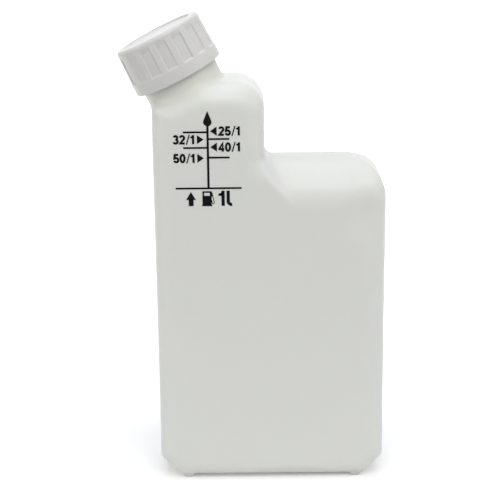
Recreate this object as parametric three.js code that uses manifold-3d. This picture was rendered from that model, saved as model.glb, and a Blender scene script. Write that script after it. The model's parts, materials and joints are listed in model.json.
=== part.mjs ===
// A one-litre mixing bottle for two-stroke fuel: a flat blow-moulded polyethylene bottle with a raised
// measuring column, a tilted screw neck on top of it, a fluted screw cap with a loose foam liner, and a
// printed mixing scale. Lengths are millimetres, +Z is up and -Y is the printed front.
import * as THREE from 'three';
import { mergeVertices } from 'three/addons/utils/BufferGeometryUtils.js';
import Module from 'manifold-3d';

const wasm = await Module();
wasm.setup();

// Bottle
const bodyWidth = 126;
const bodyDepth = 52;
const shoulderHeight = 184;
const columnWidth = 60.4;
const columnHeight = 226.5;
const wallThickness = 1.3;
const edgeRadius = 11;
const shoulderEndRadius = 22;
const columnCornerRadius = 16;
const columnRoofRadius = 13;
const lowerChamfer = 11;
const bendRadius = 12;

// Two moulded feet across the base
const footHeight = 1.6;
const footWidth = 6.2;
const footLength = 36;
const footFromWall = 12.5;
const footEdgeRadius = 1;

// Screw neck, measured along its own axis from the plane of the cap's rim
const neckTilt = THREE.MathUtils.degToRad(26.3);
const rimFromLeftWall = 14.45;
const rimAboveColumn = 1.35;
const neckRadius = 21.25;
const neckWall = 2.5;
const neckHeight = 21.4;
const neckRoot = 22;
const lipChamfer = 0.6;
const neckSlopeFromWall = 25;

// Screw thread
const threadPitch = 4;
const threadHeight = 1.1;
const threadFootWidth = 2.5;
const threadTipWidth = 1.2;
const threadTurns = 2.5;
const neckThreadStart = 7.6;
const capThreadStart = 4;
const threadClearance = 0.35;
const threadRoot = 0.3;

// Screw cap
const capHeight = 26;
const capRimRadius = 25;
const capSkirtRadius = 24.8;
const capTopRadius = 24.3;
const capBandHeight = 6.8;
const capEdgeRadius = 2;
const capTopThickness = 1.8;
const capRecessRadius = 19;
const capRecessDepth = 1;
const capRimChamfer = 0.5;
const fluteCount = 16;
const fluteDepth = 0.9;
const fluteTopGap = 2.6;
const capClocking = THREE.MathUtils.degToRad(15.35);

// Foam liner
const linerThickness = 1.2;
const seatGap = 0.3;
const linerClearance = 0.5;

// Printed scale, heights above its litre line
const inkThickness = 0.1;
const litreLineBelowRoof = 55.5;
const litreLineHalfLength = 17.6;
const scaleLineWidth = 1;
const scaleLineLength = 33.6;
const tickWidth = 0.7;
const leftTicks = [22, 30.4];
const rightTicks = [16.7, 26.7];
const leftTickLength = 13;
const rightTickLength = 11.4;
const dropHeight = 8.2;
const dropRadius = 2.2;

// Smoothness
const arcSteps = 4;
const roofSteps = 8;
const bevelSteps = 4;
const neckFacets = 60;
const threadFacets = 40;
const facetsPerFlute = 5;
const cutFacetsPerFlute = 3;
const capFacets = fluteCount * facetsPerFlute;
const mergeDistance = 1e-4;
const ridgeWidth = 0.02;

// Derived places
const leftWall = -bodyWidth / 2;
const rightWall = bodyWidth / 2;
const columnRight = leftWall + columnWidth;
const columnCentre = leftWall + columnWidth / 2;
const frontFace = -bodyDepth / 2;
const capBore = neckRadius + threadHeight + threadClearance;
const farAway = 4 * columnHeight;

// The unit vector from one corner of an outline to another.
function directionTo(from, to) {
  return new THREE.Vector2(to[0] - from[0], to[1] - from[1]).normalize();
}

// A closed outline from corners [x, y, radius], counter-clockwise, each rounded by its own radius.
function roundedShape(corners) {
  const shape = new THREE.Shape();
  corners.forEach((corner, i) => {
    const [x, y, radius = 0] = corner;
    if (radius <= 0) {
      if (i > 0) shape.lineTo(x, y);
      else shape.moveTo(x, y);
      return;
    }
    const back = directionTo(corner, corners.at(i - 1));
    const ahead = directionTo(corner, corners[(i + 1) % corners.length]);
    const halfAngle = Math.acos(back.dot(ahead)) / 2;
    const middle = back.clone().add(ahead).normalize();
    const centre = new THREE.Vector2(x, y).addScaledVector(middle, radius / Math.sin(halfAngle));
    const reach = radius / Math.tan(halfAngle);
    const start = new THREE.Vector2(x, y).addScaledVector(back, reach).sub(centre);
    const end = new THREE.Vector2(x, y).addScaledVector(ahead, reach).sub(centre);
    shape.absarc(centre.x, centre.y, radius, start.angle(), end.angle(), back.cross(ahead) > 0);
  });
  return shape;
}

// A closed geometry as a solid that can be joined and cut.
function toSolid(geometry) {
  const plain = geometry.index ? geometry.toNonIndexed() : geometry;
  plain.deleteAttribute('normal');
  plain.deleteAttribute('uv');
  const merged = mergeVertices(plain, mergeDistance);
  const corners = merged.index.array;
  const triVerts = [];
  for (let i = 0; i < corners.length; i += 3) {
    const [a, b, c] = corners.slice(i, i + 3);
    if (a !== b && b !== c && c !== a) triVerts.push(a, b, c);
  }
  return new wasm.Manifold(new wasm.Mesh({
    numProp: 3,
    vertProperties: merged.attributes.position.array,
    triVerts: Uint32Array.from(triVerts),
  }));
}

// A solid as a geometry for a mesh.
function toGeometry(solid) {
  const { vertProperties, triVerts } = solid.getMesh();
  const geometry = new THREE.BufferGeometry();
  geometry.setAttribute('position', new THREE.BufferAttribute(vertProperties, 3));
  geometry.setIndex(new THREE.BufferAttribute(triVerts, 1));
  geometry.computeVertexNormals();
  return geometry;
}

// A front outline given a depth along Y, with every edge of its two faces rounded.
function roundedSlab(corners, depth, radius) {
  const slab = new THREE.ExtrudeGeometry(roundedShape(corners), {
    depth: depth - 2 * radius,
    bevelEnabled: true,
    bevelThickness: radius,
    bevelSize: radius,
    bevelOffset: -radius,
    bevelSegments: bevelSteps,
    curveSegments: arcSteps,
  });
  return toSolid(slab.rotateX(Math.PI / 2).translate(0, depth / 2 - radius, 0));
}

// A front outline given a plain depth along Y, from the plane y = front.
function plainSlab(shape, front, depth) {
  const slab = new THREE.ExtrudeGeometry(shape, { depth, bevelEnabled: false, curveSegments: arcSteps });
  return toSolid(slab.rotateX(Math.PI / 2).translate(0, front + depth, 0));
}

// A long bar along X with a flat top at z = 0 and its two upper edges rounded.
function roofGeometry(depth, radius) {
  const half = depth / 2;
  const shape = roundedShape([[-half, -farAway], [half, -farAway], [half, 0, radius], [-half, 0, radius]]);
  const settings = { depth: farAway, bevelEnabled: false, curveSegments: roofSteps };
  const bar = new THREE.ExtrudeGeometry(shape, settings);
  bar.translate(0, 0, -farAway / 2);
  return bar.rotateX(Math.PI / 2).rotateZ(Math.PI / 2);
}

// The wide lower part: chamfered at the bottom corners and fully rounded over the shoulder.
function lowerForm(inset) {
  const left = leftWall + inset;
  const right = rightWall - inset;
  const bottom = footHeight + inset;
  const top = shoulderHeight - inset;
  const leg = lowerChamfer - inset * (2 - Math.SQRT2);
  const bend = bendRadius - inset;
  const depth = bodyDepth - 2 * inset;
  const slab = roundedSlab([
    [left + leg, bottom, bend],
    [right - leg, bottom, bend],
    [right, bottom + leg, bend],
    [right, top, shoulderEndRadius - inset],
    [left, top],
    [left, bottom + leg, bend],
  ], depth, edgeRadius - inset);
  const roof = roofGeometry(depth, (depth - ridgeWidth) / 2).translate(0, 0, top);
  return slab.intersect(toSolid(roof));
}

// The measuring column: a flat roof that slopes down to the left, at right angles to the neck.
function columnForm(inset) {
  const left = leftWall + inset;
  const right = columnRight - inset;
  const bottom = shoulderHeight / 2;
  const top = columnHeight - inset;
  const slopeStart = leftWall + neckSlopeFromWall + inset * Math.tan(neckTilt / 2);
  const slopeEnd = top - (slopeStart - left) * Math.tan(neckTilt);
  const depth = bodyDepth - 2 * inset;
  const slab = roundedSlab([
    [left, bottom],
    [right, bottom],
    [right, top, columnCornerRadius - inset],
    [slopeStart, top],
    [left, slopeEnd, bendRadius - inset],
  ], depth, edgeRadius - inset);
  const flatRoof = roofGeometry(depth, columnRoofRadius - inset).translate(0, 0, top);
  const slope = roofGeometry(depth, columnRoofRadius - inset);
  slope.rotateY(-neckTilt).translate(slopeStart, 0, top);
  return slab.intersect(toSolid(flatRoof)).intersect(toSolid(slope));
}

// One foot, a low rib that runs from front to back under the base.
function foot(side, inset) {
  const outer = side * (rightWall - footFromWall - inset);
  const inner = outer - side * (footWidth - 2 * inset);
  const low = Math.min(outer, inner);
  const high = Math.max(outer, inner);
  const top = footHeight + edgeRadius / 2;
  const edge = footEdgeRadius;
  const shape = roundedShape([[low, top], [low, inset, edge], [high, inset, edge], [high, top]]);
  const length = footLength - 2 * inset;
  return plainSlab(shape, -length / 2, length);
}

// The bottle's form without its neck: the outer surface at inset 0, the inner one at the wall's thickness.
function bottleForm(inset) {
  return lowerForm(inset).add(columnForm(inset)).add(foot(-1, inset)).add(foot(1, inset));
}

// A turned solid about Z from profile points [radius, height].
function turned(profile, facets) {
  const points = profile.map(([radius, height]) => new THREE.Vector2(radius, height));
  return new THREE.LatheGeometry(points, facets).rotateX(Math.PI / 2);
}

// Moves a geometry from the neck's own frame, with Z along its axis, to its place on the bottle.
function ontoNeck(geometry) {
  return geometry.rotateY(-neckTilt).translate(leftWall + rimFromLeftWall, 0, columnHeight + rimAboveColumn);
}

// A right-hand thread ridge. It stands outwards where the tip is wider than the foot, and inwards otherwise.
function threadRidge(footRadius, tipRadius, startHeight, startAngle) {
  const outwards = tipRadius > footRadius;
  const buried = footRadius + (outwards ? -threadRoot : threadRoot);
  const sections = Math.round(threadTurns * threadFacets);
  const fade = threadFacets / 10;
  const positions = [];
  for (let i = 0; i <= sections; i += 1) {
    const angle = startAngle + (2 * Math.PI * i) / threadFacets;
    const height = startHeight + (threadPitch * i) / threadFacets;
    const rise = Math.min(1, (i + 0.5) / fade, (sections - i + 0.5) / fade);
    const tip = buried + (tipRadius - buried) * rise;
    const corners = [
      [buried, -threadFootWidth / 2],
      [tip, -threadTipWidth / 2],
      [tip, threadTipWidth / 2],
      [buried, threadFootWidth / 2],
    ];
    corners.forEach(([radius, offset]) => {
      positions.push(radius * Math.cos(angle), radius * Math.sin(angle), height + offset);
    });
  }
  const last = 4 * sections;
  const faces = [[0, 1, 2], [0, 2, 3], [last, last + 2, last + 1], [last, last + 3, last + 2]];
  for (let i = 0; i < last; i += 4) {
    for (let k = 0; k < 4; k += 1) {
      const [a, b] = [i + k, i + ((k + 1) % 4)];
      faces.push([b, a, a + 4], [b, a + 4, b + 4]);
    }
  }
  const geometry = new THREE.BufferGeometry();
  geometry.setAttribute('position', new THREE.Float32BufferAttribute(positions, 3));
  geometry.setIndex(faces.flatMap(([a, b, c]) => (outwards ? [a, b, c] : [a, c, b])));
  return geometry;
}

// The bottle in one piece: hollow, open at the mouth, with the male thread on its neck.
function bottleBody() {
  const mouth = neckHeight;
  const bore = neckRadius - neckWall;
  const neck = turned([
    [0, -neckRoot],
    [neckRadius, -neckRoot],
    [neckRadius, mouth - lipChamfer],
    [neckRadius - lipChamfer, mouth],
    [0, mouth],
  ], neckFacets);
  const opening = turned([[0, -neckRoot], [bore, -neckRoot], [bore, 2 * mouth], [0, 2 * mouth]], neckFacets);
  const ridge = threadRidge(neckRadius, neckRadius + threadHeight, neckThreadStart, 0);
  return bottleForm(0)
    .add(toSolid(ontoNeck(neck)))
    .add(toSolid(ontoNeck(ridge)))
    .subtract(bottleForm(wallThickness))
    .subtract(toSolid(ontoNeck(opening)));
}

// The recess between two ribs of the cap's skirt.
function flute(index) {
  const pitch = (2 * Math.PI) / fluteCount;
  const floor = (capSkirtRadius + capTopRadius) / 2 - fluteDepth;
  const start = index * pitch + (pitch / facetsPerFlute) * ((facetsPerFlute - cutFacetsPerFlute) / 2);
  const facet = pitch / facetsPerFlute;
  const angles = Array.from({ length: cutFacetsPerFlute + 1 }, (_, k) => start + k * facet);
  const at = (radius, angle) => new THREE.Vector2(radius * Math.cos(angle), radius * Math.sin(angle));
  const arc = (radius) => angles.map((angle) => at(radius, angle));
  const shape = new THREE.Shape([...arc(2 * capRimRadius), ...arc(floor).reverse()]);
  const depth = capHeight - fluteTopGap - capBandHeight;
  const prism = new THREE.ExtrudeGeometry(shape, { depth, bevelEnabled: false });
  return toSolid(prism.translate(0, 0, capBandHeight));
}

// The cap in one piece: a plain band at the rim, a fluted skirt, a dished top and the female thread.
function screwCap() {
  const ceiling = capHeight - capRecessDepth - capTopThickness;
  const edgeCentre = capTopRadius - capEdgeRadius;
  const edge = [0, 1, 2, 3, 4].map((step) => {
    const angle = (step * Math.PI) / 8;
    const height = capHeight - capEdgeRadius + capEdgeRadius * Math.sin(angle);
    return [edgeCentre + capEdgeRadius * Math.cos(angle), height];
  });
  const shell = turned([
    [0, ceiling],
    [capBore, ceiling],
    [capBore, capRimChamfer],
    [capBore + capRimChamfer, 0],
    [capRimRadius, 0],
    [capRimRadius, capBandHeight - (capRimRadius - capSkirtRadius)],
    [capSkirtRadius, capBandHeight],
    ...edge,
    [capRecessRadius + capRecessDepth, capHeight],
    [capRecessRadius, capHeight - capRecessDepth],
    [0, capHeight - capRecessDepth],
  ], capFacets);
  let cap = toSolid(shell);
  for (let i = 0; i < fluteCount; i += 1) cap = cap.subtract(flute(i));
  const meshing = (capThreadStart - neckThreadStart - threadPitch / 2) / threadPitch;
  const startAngle = 2 * Math.PI * meshing - capClocking;
  const ridge = threadRidge(capBore, neckRadius + threadClearance, capThreadStart, startAngle);
  return cap.add(toSolid(ridge));
}

// The foam disc between the mouth of the neck and the cap's ceiling.
function capLiner() {
  const low = neckHeight + seatGap;
  const radius = capBore - linerClearance;
  const high = low + linerThickness;
  return toSolid(turned([[0, low], [radius, low], [radius, high], [0, high]], capFacets));
}

// The joined lines of the printed scale: litre line, upright line with ticks, and a drop on top.
function printedScale() {
  const x = columnCentre;
  const z = columnHeight - litreLineBelowRoof;
  const box = (left, right, low, high) => {
    const shape = roundedShape([[left, low], [right, low], [right, high], [left, high]]);
    return plainSlab(shape, frontFace - inkThickness, inkThickness);
  };
  const half = tickWidth / 2;
  const drop = new THREE.Shape();
  const dropBase = z + scaleLineLength;
  const dropCentre = dropBase + dropRadius;
  const meeting = Math.acos(dropRadius / (dropHeight - dropRadius));
  drop.absarc(x, dropCentre, dropRadius, Math.PI / 2 + meeting, Math.PI / 2 - meeting, false);
  drop.lineTo(x, dropBase + dropHeight);
  const litreLine = box(x - litreLineHalfLength, x + litreLineHalfLength, z - half, z + half);
  return [
    box(x - scaleLineWidth / 2, x + scaleLineWidth / 2, z, dropCentre),
    ...leftTicks.map((height) => box(x - leftTickLength, x, z + height - half, z + height + half)),
    ...rightTicks.map((height) => box(x, x + rightTickLength, z + height - half, z + height + half)),
    plainSlab(drop, frontFace - inkThickness, inkThickness),
  ].reduce((print, piece) => print.add(piece), litreLine);
}

const polyethylene = new THREE.MeshStandardMaterial({ color: 0xd6d8d2, roughness: 0.45, metalness: 0 });
const capPlastic = new THREE.MeshStandardMaterial({ color: 0xdcdcda, roughness: 0.4, metalness: 0 });
const linerFoam = new THREE.MeshStandardMaterial({ color: 0xf2f2ee, roughness: 0.8, metalness: 0 });
const blackInk = new THREE.MeshStandardMaterial({ color: 0x161616, roughness: 0.5, metalness: 0 });

// A named mesh from a solid.
function named(name, solid, material) {
  const mesh = new THREE.Mesh(toGeometry(solid), material);
  mesh.name = name;
  return mesh;
}

const cap = named('screw_cap', screwCap(), capPlastic);
cap.rotation.z = capClocking;
const liner = named('cap_liner', capLiner(), linerFoam);

const neckAxis = new THREE.Group();
neckAxis.add(cap, liner);
neckAxis.rotation.y = -neckTilt;
neckAxis.position.set(leftWall + rimFromLeftWall, 0, columnHeight + rimAboveColumn);

const bottle = new THREE.Group();
bottle.add(named('bottle_body', bottleBody(), polyethylene));
bottle.add(named('printed_scale', printedScale(), blackInk));
bottle.add(neckAxis);

// The origin lies under the middle of the whole object, at the level that it stands on.
const bounds = new THREE.Box3().setFromObject(bottle, true);
const middle = bounds.getCenter(new THREE.Vector3());
bottle.position.set(-middle.x, -middle.y, -bounds.min.z);

const mixingBottle = new THREE.Group();
mixingBottle.add(bottle);

export default mixingBottle;
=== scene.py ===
# Dresses a one-litre fuel mixing bottle: the blow-moulded bottle, its fluted screw cap, the foam liner
# and the printed scale. Lengths are metres, +Z is up and -Y is the printed front.
import json
import math
from functools import partial

import bmesh
import bpy
import numpy as np
from bpy.props import FloatProperty, FloatVectorProperty, IntProperty, PointerProperty, StringProperty
from mathutils import Matrix, Vector


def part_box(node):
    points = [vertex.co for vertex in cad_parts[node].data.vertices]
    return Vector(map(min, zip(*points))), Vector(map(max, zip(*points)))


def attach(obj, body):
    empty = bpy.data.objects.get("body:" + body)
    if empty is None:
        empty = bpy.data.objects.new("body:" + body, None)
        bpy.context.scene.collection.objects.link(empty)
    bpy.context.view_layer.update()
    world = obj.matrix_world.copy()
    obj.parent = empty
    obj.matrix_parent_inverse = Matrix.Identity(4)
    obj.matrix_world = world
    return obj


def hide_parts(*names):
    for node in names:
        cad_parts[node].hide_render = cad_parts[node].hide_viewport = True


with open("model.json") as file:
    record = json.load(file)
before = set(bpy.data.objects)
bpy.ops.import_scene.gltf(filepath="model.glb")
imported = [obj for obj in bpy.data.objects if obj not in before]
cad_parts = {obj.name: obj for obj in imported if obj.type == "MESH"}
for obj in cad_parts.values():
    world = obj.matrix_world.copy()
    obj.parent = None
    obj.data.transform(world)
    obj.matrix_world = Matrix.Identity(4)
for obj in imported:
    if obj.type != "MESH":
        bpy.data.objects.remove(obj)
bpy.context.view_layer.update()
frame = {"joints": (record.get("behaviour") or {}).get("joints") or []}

bl_info = {
    "name": "Fuel mixing bottle",
    "version": (1, 0, 0),
    "blender": (4, 5, 0),
    "location": "3D View > Sidebar > Mixing bottle",
    "description": "Builds a blow-moulded mixing bottle with a fluted screw cap and a printed scale",
    "category": "Mesh",
}

MM = 0.001

# The frame gives the places of the bottle, its print and its neck.
BOTTLE_LOW, BOTTLE_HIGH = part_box("bottle_body")
PRINT_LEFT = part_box("printed_scale")[0].x
CAP_JOINT = next(j for j in frame["joints"] if j["type"] == "hinge")
NECK_AXIS = Vector(CAP_JOINT["axis"]).normalized()
RIM_CENTRE = Vector(CAP_JOINT["pos_m"])
MID_DEPTH = (BOTTLE_LOW.y + BOTTLE_HIGH.y) / 2

# How finely the forms are made.
OUTER_GRID, INNER_GRID = 1.25 * MM, 2.5 * MM
NECK_SIDES, LINER_SIDES = 192, 128
SHARP_ANGLE = math.radians(50)

# How deep a thread's ridge sits in its wall, and the turn that sets the cap's ridge between the neck's.
THREAD_SINK = 0.3 * MM
CAP_THREAD_TURN = -1.4 * 2 * math.pi


def length(name, description, millimetres):
    """A size that is given in millimetres and that the sidebar shows in metres."""
    return FloatProperty(name=name, description=description, default=millimetres * MM,
                         unit="LENGTH", subtype="DISTANCE", precision=5)


def heights(name, description, millimetres):
    """Two heights."""
    return FloatVectorProperty(name=name, description=description, default=[h * MM for h in millimetres],
                               size=2, unit="LENGTH", precision=5)


def number(name, description, default):
    """A plain number."""
    return FloatProperty(name=name, description=description, default=default)


def watts(name, default):
    """The power of a light."""
    return number(name, "Power of this light in watts", default)


def angle(name, description, degrees):
    """An angle that is given in degrees."""
    return FloatProperty(name=name, description=description, default=math.radians(degrees),
                         subtype="ANGLE", unit="ROTATION")


def colour(name, description, default):
    """A colour that is written as an sRGB hex value."""
    return StringProperty(name=name, description=description, default=default)


class BottleSizes(bpy.types.PropertyGroup):
    """Sizes of the blow-moulded bottle."""
    width: length("Body width", "From wall to wall across the front", 126)
    depth: length("Body depth", "From the front face to the back face", 52)
    shoulder_height: length("Shoulder height", "From the floor to the low shoulder", 184)
    column_width: length("Column width", "Width of the measuring column", 60.4)
    column_height: length("Column height", "From the floor to the column's flat roof", 226.5)
    wall: length("Wall", "Thickness of the blown wall", 1.3)
    edge_radius: length("Edge radius", "Rounding between the faces and the sides", 11)
    base_radius: length("Base radius", "Rounding of the edges round the base", 8)
    roof_radius: length("Roof radius", "Rounding of the column's roof", 13)
    shoulder_end: length("Shoulder end radius", "Rounding of the shoulder's far corner", 22)
    column_corner: length("Column corner radius", "Rounding of the column's upper corner", 16)
    crotch: length("Inner corner radius", "Fillet between the column and the shoulder", 2.5)
    chamfer: length("Lower chamfer", "Legs of the slanted lower corners", 11)
    bend: length("Bend radius", "Rounding of the slanted corners", 6)
    foot_height: length("Foot height", "How far the feet lift the base", 1.6)
    foot_width: length("Foot width", "Width of one moulded foot", 6.2)
    foot_length: length("Foot length", "Length of one moulded foot, front to back", 43)
    foot_from_wall: length("Foot place", "From the side wall to the foot", 12.5)
    slope_from_wall: length("Slope place", "Where the roof starts to slope to the neck", 25)
    parting_line: length("Parting line", "Height of the line that the mould's halves leave", 0.12)


class NeckSizes(bpy.types.PropertyGroup):
    """Sizes of the neck and its thread, measured from the plane of the cap's rim."""
    radius: length("Neck radius", "Outer radius at the thread's root", 21.25)
    wall: length("Neck wall", "Thickness of the neck's wall", 2.5)
    height: length("Neck height", "From the cap's rim plane to the mouth", 21.4)
    fillet: length("Neck fillet", "Softness where the neck meets the bottle", 2.6)
    bead_radius: length("Bead radius", "Radius of the ring below the thread", 22.2)
    bead_height: length("Bead height", "Where the ring stands on the neck", 3.2)
    pitch: length("Thread pitch", "Rise of the thread in one turn", 4)
    thread_height: length("Thread height", "How far the ridge stands out", 1.1)
    thread_foot: length("Thread foot", "Width of the ridge at its root", 2.5)
    thread_tip: length("Thread tip", "Width of the ridge at its crest", 1.2)
    thread_start: length("Thread start", "Where the neck's thread starts", 7.6)
    turns: number("Thread turns", "Turns of each thread", 2.5)


class CapSizes(bpy.types.PropertyGroup):
    """Sizes of the screw cap and its liner."""
    height: length("Cap height", "From the rim to the top", 26)
    rim_radius: length("Rim radius", "Radius of the plain band", 25)
    skirt_radius: length("Skirt radius", "Radius of the ribs above the band", 24.8)
    top_radius: length("Top radius", "Radius of the ribs at the top", 24.3)
    band_height: length("Band height", "Height of the plain band", 6.8)
    edge_radius: length("Edge radius", "Rounding of the upper edge", 2)
    top_thickness: length("Top thickness", "Thickness of the cap's top", 1.8)
    recess_radius: length("Recess radius", "Radius of the dished top", 19)
    recess_depth: length("Recess depth", "Depth of the dished top", 1)
    flutes: IntProperty(name="Flutes", description="Hollows around the skirt", default=16, min=3)
    flute_share: number("Flute share", "Share of the pitch that is hollow", 0.6)
    flute_depth: length("Flute depth", "Depth of a hollow", 0.8)
    flute_top: length("Flute top gap", "From the top down to the hollows", 2.2)
    flute_softness: length("Flute softness", "Width of a hollow's rounded side", 0.9)
    clocking: angle("Clocking", "Turn of the ribs about the neck", 15.35)
    clearance: length("Thread clearance", "Free space between the threads", 0.35)
    thread_start: length("Thread start", "Where the cap's thread starts", 4)
    liner_thickness: length("Liner thickness", "Thickness of the foam disc", 1.2)
    liner_gap: length("Liner gap", "Free space on each side of the disc", 0.3)
    liner_clearance: length("Liner clearance", "From the disc to the cap's bore", 0.5)


class PrintSizes(bpy.types.PropertyGroup):
    """Sizes of the printed scale, with heights above its litre line."""
    line_z: length("Litre line height", "From the floor to the litre line", 171)
    line_height: length("Upright line", "Height of the upright line", 33.6)
    left_tick: length("Left tick", "Length of the ticks on the left", 13)
    right_tick: length("Right tick", "Length of the ticks on the right", 11.4)
    left_ticks: heights("Left ticks", "Heights of the ticks on the left", (22, 30.4))
    right_ticks: heights("Right ticks", "Heights of the ticks on the right", (16.7, 26.7))
    drop_height: length("Drop height", "Height of the drop on top", 8.2)
    drop_radius: length("Drop radius", "Radius of the drop's round part", 2.2)
    ink: length("Ink", "How far the ink stands proud", 0.06)
    line_half: length("Litre line", "Half the length of the litre line", 17.6)
    line_width: length("Line width", "Width of the upright line", 1.2)
    tick_width: length("Tick width", "Width of the ticks and the litre line", 1.0)
    digit_height: length("Digit height", "Height of the ratio digits", 4.9)
    litre_height: length("Litre height", "Height of the litre sign", 8.3)
    digit_weight: length("Digit weight", "Width of a ratio digit's strokes", 1.2)
    litre_weight: length("Litre weight", "Width of the litre sign's strokes", 1.75)


class Finishes(bpy.types.PropertyGroup):
    """Colours of the materials."""
    bottle: colour("Bottle", "Natural polyethylene", "d9dad4")
    cap: colour("Cap", "White cap plastic", "cccbc8")
    liner: colour("Liner", "Polyethylene foam", "f0f0ec")
    ink: colour("Ink", "Black printing ink", "060606")
    floor: colour("Floor", "Floor and backdrop", "f4f4f4")


class StageSettings(bpy.types.PropertyGroup):
    """Camera and lights."""
    distance: length("Camera distance", "From the camera to its target", 765)
    pitch: angle("Pitch", "How far the camera looks down", 16.6)
    roll: angle("Roll", "Turn of the camera about its view", -0.63)
    target: FloatVectorProperty(name="Target", description="Point in the middle of the picture",
                                default=(-2.02 * MM, 0.05 * MM, 128.7 * MM), subtype="XYZ", unit="LENGTH")
    lens: number("Lens", "Focal length in millimetres", 98.35)
    overhead: watts("Overhead softbox", 3.6)
    softbox: watts("Front softbox", 5.6)
    right: watts("Right fill", 1.8)
    left: watts("Left fill", 2.3)
    world: number("World", "Strength of the surrounding light", 0.44)
    backdrop: number("Backdrop", "White that rays see on the paper by the object", 0.2)


class BottleKitSettings(bpy.types.PropertyGroup):
    """All settings of the bottle."""
    bottle: PointerProperty(type=BottleSizes)
    neck: PointerProperty(type=NeckSizes)
    cap: PointerProperty(type=CapSizes)
    scale: PointerProperty(type=PrintSizes)
    finish: PointerProperty(type=Finishes)
    stage: PointerProperty(type=StageSettings)


def linear(hex_colour):
    """An sRGB hex colour as a linear colour with full alpha."""
    channels = [int(hex_colour[i:i + 2], 16) / 255 for i in (0, 2, 4)]
    return [c / 12.92 if c <= 0.04045 else ((c + 0.055) / 1.055) ** 2.4 for c in channels] + [1.0]


def add_node(tree, kind, inputs=(), **settings):
    """Adds a node with its settings and its inputs {socket: value, output or node}."""
    node = tree.nodes.new(kind)
    for name, value in settings.items():
        setattr(node, name, value)
    for socket, value in dict(inputs).items():
        if isinstance(value, bpy.types.Node):
            value = value.outputs[0]
        if isinstance(value, bpy.types.NodeSocket):
            tree.links.new(value, node.inputs[socket])
        else:
            node.inputs[socket].default_value = value
    return node


def arithmetic(tree, operation, *operands):
    """A Math node."""
    return add_node(tree, "ShaderNodeMath", dict(enumerate(operands)), operation=operation)


def mapped(tree, value, low, high, to_low=0.0, to_high=1.0, smooth=False):
    """A Map Range node."""
    return add_node(tree, "ShaderNodeMapRange", {
        "Value": value, "From Min": low, "From Max": high, "To Min": to_low, "To Max": to_high},
        interpolation_type="SMOOTHSTEP" if smooth else "LINEAR")


def cleared(holder):
    """The empty node tree of a material or a world."""
    holder.use_nodes = True
    holder.node_tree.nodes.clear()
    return holder.node_tree


def solid(name, points, faces, edges=()):
    """A smooth object at the origin, from points and faces."""
    mesh = bpy.data.meshes.new(name)
    mesh.from_pydata([tuple(map(float, p)) for p in points], edges, [tuple(map(int, f)) for f in faces])
    mesh.update()
    mesh.shade_smooth()
    obj = bpy.data.objects.new(name, mesh)
    bpy.context.scene.collection.objects.link(obj)
    return obj


def applied(obj):
    """Turns an object's modifiers into plain mesh, and returns the object without them."""
    bpy.context.view_layer.update()
    graph = bpy.context.evaluated_depsgraph_get()
    mesh = bpy.data.meshes.new_from_object(obj.evaluated_get(graph), depsgraph=graph)
    obj.modifiers.clear()
    obj.data = mesh
    return obj


def neck_matrix():
    """The neck's own frame: Z along its axis, with the origin at the middle of the cap's rim."""
    across = Vector((0, 1, 0)).cross(NECK_AXIS).normalized()
    matrix = Matrix((across, Vector((0, 1, 0)), NECK_AXIS)).transposed().to_4x4()
    matrix.translation = RIM_CENTRE
    return matrix


def finished(obj, body, material, nodes):
    """Gives a piece its material, hangs it on the empty of the body it rides on, and hides the CAD parts that
    it stands for.
    """
    obj.data.materials.clear()
    obj.data.materials.append(material)
    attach(obj, body)
    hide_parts(*nodes)
    return obj


def corner_arc(before, here, after, radius):
    """The arc that rounds a corner: its centre, its ends, the way inwards and half the corner's angle."""
    back, ahead = before - here, after - here
    back, ahead = back / np.linalg.norm(back), ahead / np.linalg.norm(ahead)
    half = math.acos(np.clip(back @ ahead, -1, 1)) / 2
    inwards = (back + ahead) / np.linalg.norm(back + ahead)
    reach = radius / math.tan(half)
    return here + inwards * radius / math.sin(half), here + back * reach, here + ahead * reach, inwards, half


class Outline:
    """A closed outline of straight lines and arcs in the XZ plane, with its exact signed distance."""

    def __init__(self, corners):
        """Takes corners (x, z, radius), counter-clockwise, each rounded by its radius."""
        self.arcs = []
        points = [np.array(c[:2]) for c in corners]
        for i, (here, corner) in enumerate(zip(points, corners)):
            before, after = points[i - 1], points[(i + 1) % len(points)]
            centre, start, end, inwards, half = corner_arc(before, here, after, corner[2])
            come, go = here - before, after - here
            convex = come[0] * go[1] - come[1] * go[0] > 0
            self.arcs.append((centre, corner[2], start, end, -inwards, math.sin(half), convex))

    def distance(self, x, z):
        """Distance to the outline, negative inside."""
        best = np.full(np.shape(x), np.inf)

        def take(value, valid):
            nonlocal best
            best = np.where(valid & (np.abs(value) < np.abs(best)), value, best)

        for i, (centre, radius, _, end, outwards, spread, convex) in enumerate(self.arcs):
            dx, dz = x - centre[0], z - centre[1]
            far = np.hypot(dx, dz)
            within = dx * outwards[0] + dz * outwards[1] >= far * spread
            take((far - radius) if convex else (radius - far), within)
            along = self.arcs[(i + 1) % len(self.arcs)][2] - end
            size = np.linalg.norm(along)
            along = along / size
            t = (x - end[0]) * along[0] + (z - end[1]) * along[1]
            side = (x - end[0]) * along[1] - (z - end[1]) * along[0]
            take(side, (t >= 0) & (t <= size))
        return best

    def points(self, spacing):
        """Points along the outline, no further apart than the spacing on its arcs."""
        route = []
        for centre, radius, start, end, _, _, convex in self.arcs:
            first = math.atan2(*(start - centre)[::-1])
            turn = math.atan2(*(end - centre)[::-1]) - first
            turn = turn % (2 * math.pi) if convex else -((-turn) % (2 * math.pi))
            steps = max(2, math.ceil(abs(turn) * radius / spacing))
            angles = first + turn * np.linspace(0, 1, steps + 1)
            route += [centre + radius * np.array((math.cos(a), math.sin(a))) for a in angles]
        return np.array(route)


def ramp(value, low, high):
    """Rises smoothly from 0 at low to 1 at high."""
    t = np.clip((value - low) / (high - low), 0, 1)
    return t * t * (3 - 2 * t)


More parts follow.
